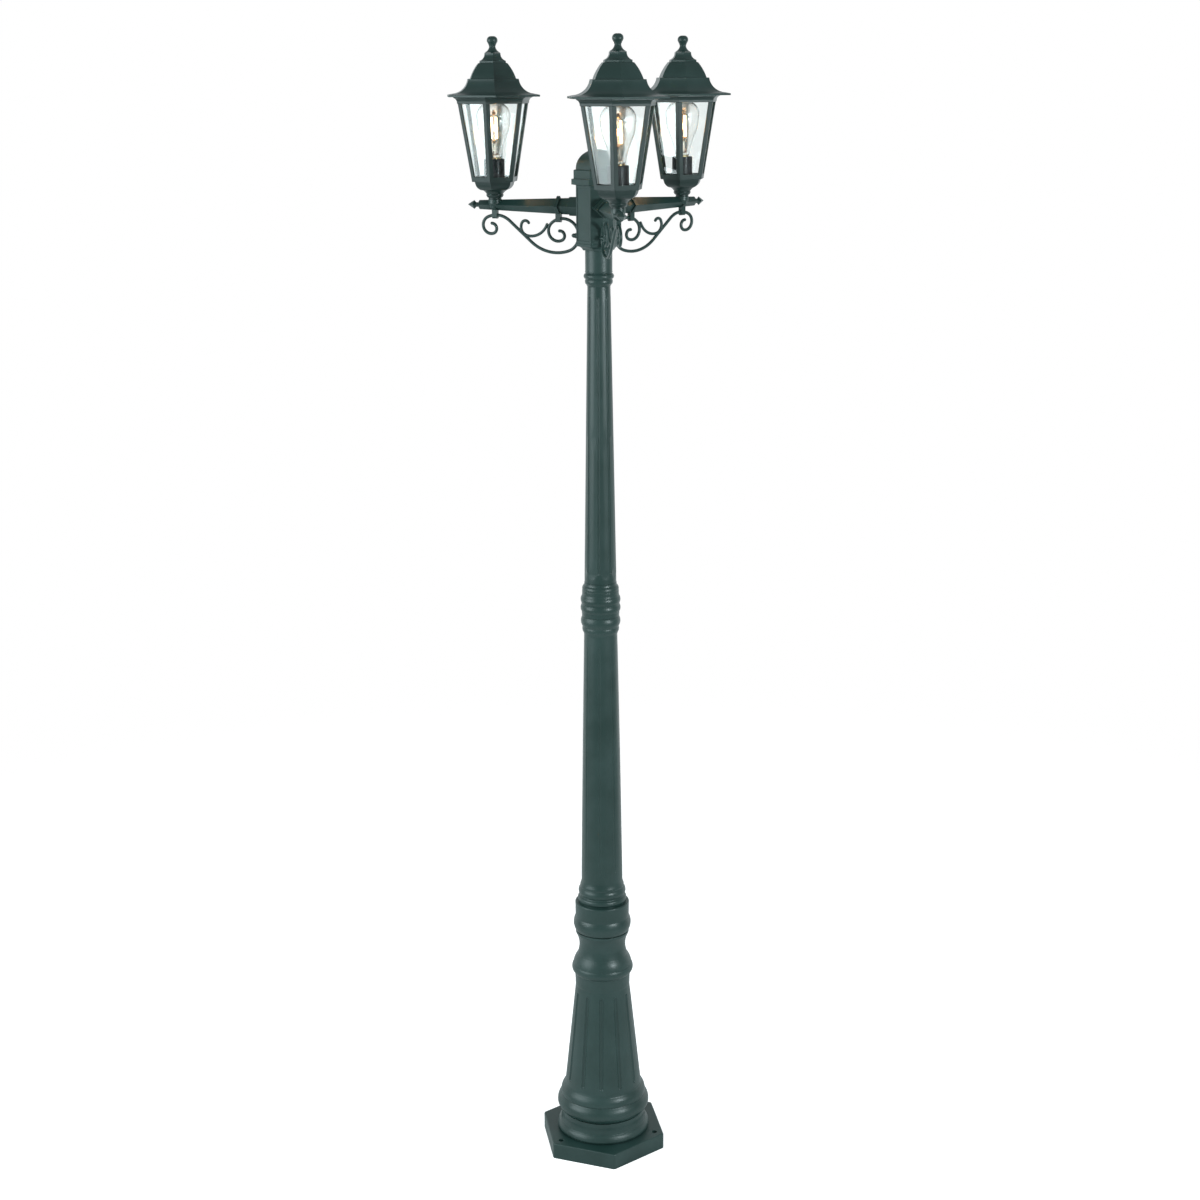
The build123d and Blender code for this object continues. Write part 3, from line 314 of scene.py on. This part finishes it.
# The lantern coat is the post's coat with darker tones: painted shade on the cups and cages.
LANTERN_SHADED_COAT = coat("lantern_painted_shade_coat", LANTERN_SHADED_TONES, 900.0, 0.25, 0.42)
ROD_COAT = coat("rod_coat", POST_TONES, 1400.0, 0.20, 0.50)
PANE_GLASS = clear_glass("pane_glass", (0.955, 0.990, 0.985, 1), (0.935, 0.975, 0.970, 1), 0.004)
BULB_GLASS = clear_glass("bulb_glass", (1.0, 1.0, 0.995, 1), (0.985, 0.985, 0.98, 1), 0.26)
STEM_GLASS = clear_glass("stem_glass", (1.0, 0.95, 0.84, 1), (0.98, 0.91, 0.78, 1), 0.10)
BLACK_PLASTIC = plastic("black_plastic", (0.004, 0.006, 0.007, 1), (0.008, 0.011, 0.013, 1),
                        (0.025, 0.032, 0.036, 1), (0.30, 0.42), 0.15)
TERMINAL_PLASTIC = plastic("terminal_plastic", (0.74, 0.72, 0.66, 1), (0.82, 0.80, 0.74, 1),
                           (0.86, 0.85, 0.80, 1), (0.38, 0.52), 0.5)
LEAD_SHEATH = plastic("lead_sheath", (0.016, 0.016, 0.017, 1), (0.030, 0.030, 0.032, 1),
                      (0.060, 0.060, 0.060, 1), (0.45, 0.6), 0.4)
ZINC_STEEL = metal("zinc_steel", (0.36, 0.37, 0.37, 1), (0.46, 0.47, 0.46, 1),
                   (0.60, 0.60, 0.59, 1), (0.30, 0.46))
LAMP_BRASS = metal("lamp_brass", (0.70, 0.52, 0.27, 1), (0.82, 0.65, 0.37, 1),
                   (0.90, 0.76, 0.50, 1), (0.22, 0.36))
LEAD_WIRE = metal("lead_wire", (0.15, 0.105, 0.060, 1), (0.23, 0.17, 0.105, 1),
                  (0.30, 0.23, 0.15, 1), (0.34, 0.50))
STRAND_LIT = lit_strand("strand_lit")

SLOT_LOOKS = {
    "coated_casting": CAST_COAT,
    "coated_steel": ROD_COAT,
    "zinc_steel": ZINC_STEEL,
    "terminal_plastic": TERMINAL_PLASTIC,
    "lead_sheath": LEAD_SHEATH,
    "clear_glass": PANE_GLASS,
    "holder_black": BLACK_PLASTIC,
    "bulb_brass": LAMP_BRASS,
    "bulb_glass": BULB_GLASS,
    "filament": STRAND_LIT,
}


LANTERN_SHADED_CASTINGS = ("_cup", "_cage")    # ends of the names of nodes with the lantern coat, the post's coat painted darker as shade under the roofs


def dress_cad_nodes():
    slots = {part["node"]: part["material_slot"] for part in frame["record"]["subparts"]}
    for node, piece in frame["nodes"].items():
        # Cups and cages get the darker copy of the coat: painted shade under the roofs.
        look = LANTERN_SHADED_COAT if node.endswith(LANTERN_SHADED_CASTINGS) else SLOT_LOOKS[slots[node]]
        piece.data.materials.clear()
        piece.data.materials.append(look)
        if slots[node] in ("clear_glass", "bulb_glass"):
            piece.visible_shadow = False


dress_cad_nodes()


# ---------------------------------------------------------------- inside the bulbs
STRANDS = 4
STRAND_TURN = 38.0              # degrees, the first strand from +X
STRAND_RADIUS = 0.0018
STRAND_FOOT_CIRCLE = 0.0078     # the strands stand on this circle and lean in to the next
STRAND_HEAD_CIRCLE = 0.0062
CLAMP_RISE = 0.024              # stem's foot to the clamp that holds the wires
STRAND_RISE = 0.033             # stem's foot to the strands' lower ends
STRAND_LENGTH = 0.045
HEAD_RISE = STRAND_RISE + STRAND_LENGTH
WIRE_RADIUS = 0.0005
CAP_RADIUS = 0.0020
CAP_REACH = 0.0022              # how far a metal cap covers the end of its strand
SMOOTH_ANGLE = math.radians(40)
END_ROUND = 0.5                 # a bar's rounded end, as a share of its radius
END_ROUND_MOST = 0.1            # and at most this share of its length


def turned(name, profile, segments=32):
    """A turned piece: a disc drawn up and widened or narrowed ring by ring, from (radius, height)."""
    deselect()
    radius, height = profile[0]
    bpy.ops.mesh.primitive_circle_add(
        vertices=segments, radius=radius, fill_type="NGON", location=(0, 0, height))
    piece = bpy.context.object
    piece.name = name
    bpy.ops.object.transform_apply(location=True, rotation=True, scale=True)
    bpy.ops.object.mode_set(mode="EDIT")
    bpy.ops.mesh.select_all(action="SELECT")
    for wide, rise in profile[1:]:
        bpy.ops.mesh.extrude_region_move(TRANSFORM_OT_translate={"value": (0, 0, rise - height)})
        bpy.ops.transform.resize(value=(wide / radius, wide / radius, 1), center_override=(0, 0, 0))
        radius, height = wide, rise
    bpy.ops.mesh.select_all(action="SELECT")
    bpy.ops.mesh.remove_doubles(threshold=0.000001)
    bpy.ops.mesh.normals_make_consistent(inside=False)
    bpy.ops.object.mode_set(mode="OBJECT")
    return piece


def round_bar(name, start, end, radius, segments=12):
    """A straight round bar between two points, its ends rounded over."""
    deselect()
    along = end - start
    bpy.ops.mesh.primitive_cylinder_add(
        vertices=segments, radius=radius, depth=along.length, end_fill_type="NGON",
        location=(start + end) / 2, rotation=along.to_track_quat("Z", "Y").to_euler())
    piece = bpy.context.object
    piece.name = name
    bpy.ops.object.mode_set(mode="EDIT")
    bpy.ops.mesh.select_mode(type="FACE")
    bpy.ops.mesh.select_all(action="DESELECT")
    bpy.ops.mesh.select_face_by_sides(number=segments)
    rounding = min(radius * END_ROUND, along.length * END_ROUND_MOST)
    bpy.ops.mesh.bevel(offset=rounding, segments=2, affect="EDGES")
    bpy.ops.object.mode_set(mode="OBJECT")
    bpy.ops.object.transform_apply(location=True, rotation=True, scale=True)
    return piece


def copied(piece, name, place=(0, 0, 0), turn=0.0):
    """A copy with its own mesh, set at its place and turned about Z."""
    deselect()
    piece.select_set(True)
    bpy.context.view_layer.objects.active = piece
    bpy.ops.object.duplicate(linked=False)
    made = bpy.context.object
    made.name = name
    made.location = place
    made.rotation_euler = (0, 0, turn)
    bpy.ops.object.transform_apply(location=True, rotation=True, scale=True)
    deselect()
    return made


def joined(pieces, name, look):
    """Several pieces made into one object with one material."""
    deselect()
    for piece in pieces:
        piece.select_set(True)
    bpy.context.view_layer.objects.active = pieces[0]
    if len(pieces) > 1:
        bpy.ops.object.join()
    made = bpy.context.object
    made.name = name
    bpy.ops.object.shade_smooth_by_angle(angle=SMOOTH_ANGLE)
    made.data.materials.clear()
    made.data.materials.append(look)
    deselect()
    return made


def ring_of(piece, name):
    """The piece and its copies round the bulb, one for each strand."""
    turns = [2 * math.pi * number / STRANDS for number in range(1, STRANDS)]
    return [piece] + [copied(piece, name, turn=turn) for turn in turns]


def model_bulb_inside():
    """The stem, the wires and the strands of one bulb, with the stem's foot at the origin."""
    stem = turned("stem", [
        (0.0105, 0.0003), (0.0095, 0.003), (0.0062, 0.008), (0.0048, 0.014),
        (0.0042, CLAMP_RISE - 0.003), (0.0044, CLAMP_RISE), (0.0034, CLAMP_RISE + 0.002),
        (0.0012, CLAMP_RISE + 0.003),
    ])
    wires = [
        round_bar("mast", Vector((0, 0, CLAMP_RISE)), Vector((0, 0, HEAD_RISE + 0.011)), 0.0008),
        turned("clamp", [
            (0.0014, CLAMP_RISE + 0.0025), (0.0038, CLAMP_RISE + 0.004),
            (0.0038, CLAMP_RISE + 0.007), (0.0014, CLAMP_RISE + 0.0085),
        ], 20),
        turned("button", [
            (0.0014, HEAD_RISE + 0.001), (0.0036, HEAD_RISE + 0.003), (0.0038, HEAD_RISE + 0.006),
            (0.0022, HEAD_RISE + 0.009), (0.0010, HEAD_RISE + 0.011),
        ], 20),
    ]
    angle = math.radians(STRAND_TURN)
    outward = Vector((math.cos(angle), math.sin(angle), 0))
    lower = outward * STRAND_FOOT_CIRCLE + Vector((0, 0, STRAND_RISE))
    upper = outward * STRAND_HEAD_CIRCLE + Vector((0, 0, HEAD_RISE))
    along = (upper - lower).normalized()
    reach = along * CAP_REACH
    strand = round_bar("strand", lower, upper, STRAND_RADIUS)
    holders = joined([
        round_bar("tail", Vector((0, 0, CLAMP_RISE + 0.006)), lower, WIRE_RADIUS, 8),
        round_bar("hook", upper, Vector((0, 0, HEAD_RISE + 0.005)), WIRE_RADIUS, 8),
        round_bar("low_cap", lower - reach / 2, lower + reach, CAP_RADIUS),
        round_bar("high_cap", upper - reach, upper + reach / 2, CAP_RADIUS),
    ], "holders", LEAD_WIRE)
    return [
        (joined([stem], "stem", STEM_GLASS), "bulb_glass"),
        (joined(wires + ring_of(holders, "holders"), "wires", LEAD_WIRE), "bulb_brass"),
        (joined(ring_of(strand, "strand"), "strands", STRAND_LIT), "filament"),
    ]


def dress_bulb(side, inside):
    """One bulb's own copies of the pieces inside it, and its light."""
    low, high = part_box(side + "_filaments")
    foot = Vector(((low.x + high.x) / 2, (low.y + high.y) / 2, low.z))
    for master, finish in inside:
        piece = copied(master, side + "_bulb_" + master.name, place=foot)
        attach(piece, side + "_bulb")
        if finish == "bulb_glass":
            piece.visible_shadow = False
        if finish == "filament":
            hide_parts(side + "_filaments")
    glow = bpy.data.objects.new(side + "_glow", bpy.data.lights.new(side + "_glow", "POINT"))
    bpy.context.scene.collection.objects.link(glow)
    glow.data.color = BULB_LIGHT
    glow.data.energy = BULB_POWER
    glow.data.shadow_soft_size = 0.006
    glow.location = foot + Vector((0, 0, (STRAND_RISE + HEAD_RISE) / 2))
    glow.parent = frame["bodies"][side + "_bulb"]


def dress_bulbs():
    inside = model_bulb_inside()
    for side in SIDES:
        dress_bulb(side, inside)
    for master, finish in inside:
        bpy.data.objects.remove(master, do_unlink=True)


dress_bulbs()


# ---------------------------------------------------------------- floor, light and camera
def camera_axes():
    """The camera's right, up and forward directions."""
    azimuth = math.radians(CAMERA_AZIMUTH)
    turn = Matrix.Rotation(azimuth, 3, "Z")
    forward = turn @ Vector((
        math.sin(CAMERA_YAW) * math.cos(CAMERA_PITCH),
        math.cos(CAMERA_YAW) * math.cos(CAMERA_PITCH),
        math.sin(CAMERA_PITCH),
    ))
    level_right = forward.cross(Vector((0, 0, 1))).normalized()
    level_up = level_right.cross(forward)
    right = math.cos(CAMERA_ROLL) * level_right + math.sin(CAMERA_ROLL) * level_up
    up = -math.sin(CAMERA_ROLL) * level_right + math.cos(CAMERA_ROLL) * level_up
    return right, up, forward


def around_post(azimuth_from_camera, distance, height):
    """A place round the post, by its azimuth from the camera towards the picture's right."""
    angle = math.radians(CAMERA_AZIMUTH + azimuth_from_camera)
    return Vector((distance * math.sin(angle), -distance * math.cos(angle), height))


def place_camera():
    right, up, forward = camera_axes()
    camera = bpy.data.objects.new("camera", bpy.data.cameras.new("camera"))
    bpy.context.scene.collection.objects.link(camera)
    turn = Matrix((right, up, -forward)).transposed().to_4x4()
    camera.matrix_world = Matrix.Translation(around_post(0, CAMERA_DISTANCE, CAMERA_HEIGHT)) @ turn
    camera.data.sensor_width = SENSOR
    camera.data.lens = SENSOR * FOCAL_PIXELS / PICTURE_PIXELS
    camera.data.clip_end = 60
    bpy.context.scene.camera = camera


def soft_box(name, azimuth, height, width, tall, power):
    light = bpy.data.objects.new(name, bpy.data.lights.new(name, "AREA"))
    bpy.context.scene.collection.objects.link(light)
    light.data.shape = "RECTANGLE"
    light.data.size = width
    light.data.size_y = tall
    light.data.energy = power
    light.data.color = BOX_TINT
    light.location = around_post(azimuth, BOX_DISTANCE, height)
    aim = Vector((0, 0, BOX_AIM_HEIGHT)) - light.location
    light.rotation_euler = aim.to_track_quat("-Z", "Y").to_euler()


def light_the_set():
    """A small key light on the picture's right, and a broad one on its left, aimed low on the post."""
    soft_box("box_right", azimuth=47, height=2.05, width=0.68, tall=0.78, power=BOX_RIGHT_POWER)
    soft_box("box_left", azimuth=-68, height=1.9, width=2.4, tall=2.2, power=BOX_LEFT_POWER)


def seen_rays(tree):
    """One for rays from the camera and rays straight on through glass, else zero."""
    path = add_node(tree, "ShaderNodeLightPath")
    straight = add_node(tree, "ShaderNodeMath", operation="LESS_THAN")
    straight.inputs[1].default_value = 0.5
    tree.links.new(path.outputs["Glossy Depth"], straight.inputs[0])
    through = add_node(tree, "ShaderNodeMath", operation="MULTIPLY")
    tree.links.new(path.outputs["Is Transmission Ray"], through.inputs[0])
    tree.links.new(straight.outputs["Value"], through.inputs[1])
    either = add_node(tree, "ShaderNodeMath", operation="MAXIMUM")
    tree.links.new(path.outputs["Is Camera Ray"], either.inputs[0])
    tree.links.new(through.outputs["Value"], either.inputs[1])
    return either.outputs["Value"]


def white_world():
    """A white backdrop behind the post, a dimmer room in front of it, and plain white where it's seen."""
    world = bpy.data.worlds.new("studio")
    bpy.context.scene.world = world
    world.use_nodes = True
    tree = world.node_tree
    place = add_node(tree, "ShaderNodeTexCoord")
    back = -around_post(0, 1, 0)
    facing = add_node(tree, "ShaderNodeVectorMath", operation="DOT_PRODUCT")
    tree.links.new(place.outputs["Generated"], facing.inputs[0])
    facing.inputs[1].default_value = back
    ramp = add_node(tree, "ShaderNodeMapRange", interpolation_type="SMOOTHSTEP")
    ramp.inputs["From Min"].default_value = BACKDROP_EDGE
    ramp.inputs["From Max"].default_value = BACKDROP_FULL
    ramp.inputs["To Min"].default_value = ROOM_LEVEL
    tree.links.new(facing.outputs["Value"], ramp.inputs["Value"])
    rise = add_node(tree, "ShaderNodeSeparateXYZ")
    tree.links.new(place.outputs["Generated"], rise.inputs["Vector"])
    below = add_node(tree, "ShaderNodeMapRange", interpolation_type="SMOOTHSTEP")
    below.inputs["From Min"].default_value = BACKDROP_LOW
    below.inputs["From Max"].default_value = BACKDROP_TOP
    below.inputs["To Min"].default_value = BACKDROP_LEVEL
    below.inputs["To Max"].default_value = ROOM_LEVEL
    tree.links.new(rise.outputs["Z"], below.inputs["Value"])
    tree.links.new(below.outputs["Result"], ramp.inputs["To Max"])
    background = tree.nodes["Background"]
    background.inputs["Color"].default_value = ROOM_TINT
    tree.links.new(ramp.outputs["Result"], background.inputs["Strength"])
    seen = add_node(tree, "ShaderNodeBackground")
    seen.inputs["Color"].default_value = (1, 1, 1, 1)
    seen.inputs["Strength"].default_value = 1.0
    mix = add_node(tree, "ShaderNodeMixShader")
    tree.links.new(seen_rays(tree), mix.inputs["Fac"])
    tree.links.new(background.outputs["Background"], mix.inputs[1])
    tree.links.new(seen.outputs["Background"], mix.inputs[2])
    tree.links.new(mix.outputs["Shader"], tree.nodes["World Output"].inputs["Surface"])


def pale_floor():
    """A white floor that keeps the post's shadow, and that fades into the white beyond it."""
    deselect()
    bpy.ops.mesh.primitive_circle_add(vertices=96, radius=FLOOR_RADIUS, fill_type="NGON")
    floor = bpy.context.object
    floor.name = "floor"
    material, tree, shader = new_material("pale_floor")
    shader.inputs["Base Color"].default_value = FLOOR_WHITE
    shader.inputs["Roughness"].default_value = 0.9
    shader.inputs["Specular IOR Level"].default_value = 0.0
    shader.inputs["Emission Color"].default_value = (1, 1, 1, 1)
    lift = add_node(tree, "ShaderNodeMath", operation="MULTIPLY")
    lift.inputs[1].default_value = FLOOR_LIFT
    tree.links.new(seen_rays(tree), lift.inputs[0])
    tree.links.new(lift.outputs["Value"], shader.inputs["Emission Strength"])
    place = add_node(tree, "ShaderNodeTexCoord")
    reach = add_node(tree, "ShaderNodeVectorMath", operation="LENGTH")
    tree.links.new(place.outputs["Object"], reach.inputs[0])
    fade = add_node(tree, "ShaderNodeMapRange", interpolation_type="SMOOTHSTEP")
    fade.inputs["From Min"].default_value = FLOOR_FADE
    fade.inputs["From Max"].default_value = FLOOR_RADIUS
    tree.links.new(reach.outputs["Value"], fade.inputs["Value"])
    clear = add_node(tree, "ShaderNodeBsdfTransparent")
    mix = add_node(tree, "ShaderNodeMixShader")
    tree.links.new(fade.outputs["Result"], mix.inputs["Fac"])
    tree.links.new(shader.outputs["BSDF"], mix.inputs[1])
    tree.links.new(clear.outputs["BSDF"], mix.inputs[2])
    tree.links.new(mix.outputs["Shader"], tree.nodes["Material Output"].inputs["Surface"])
    floor.data.materials.append(material)


place_camera()
light_the_set()
white_world()
pale_floor()
bpy.context.scene.view_settings.view_transform = "Standard"
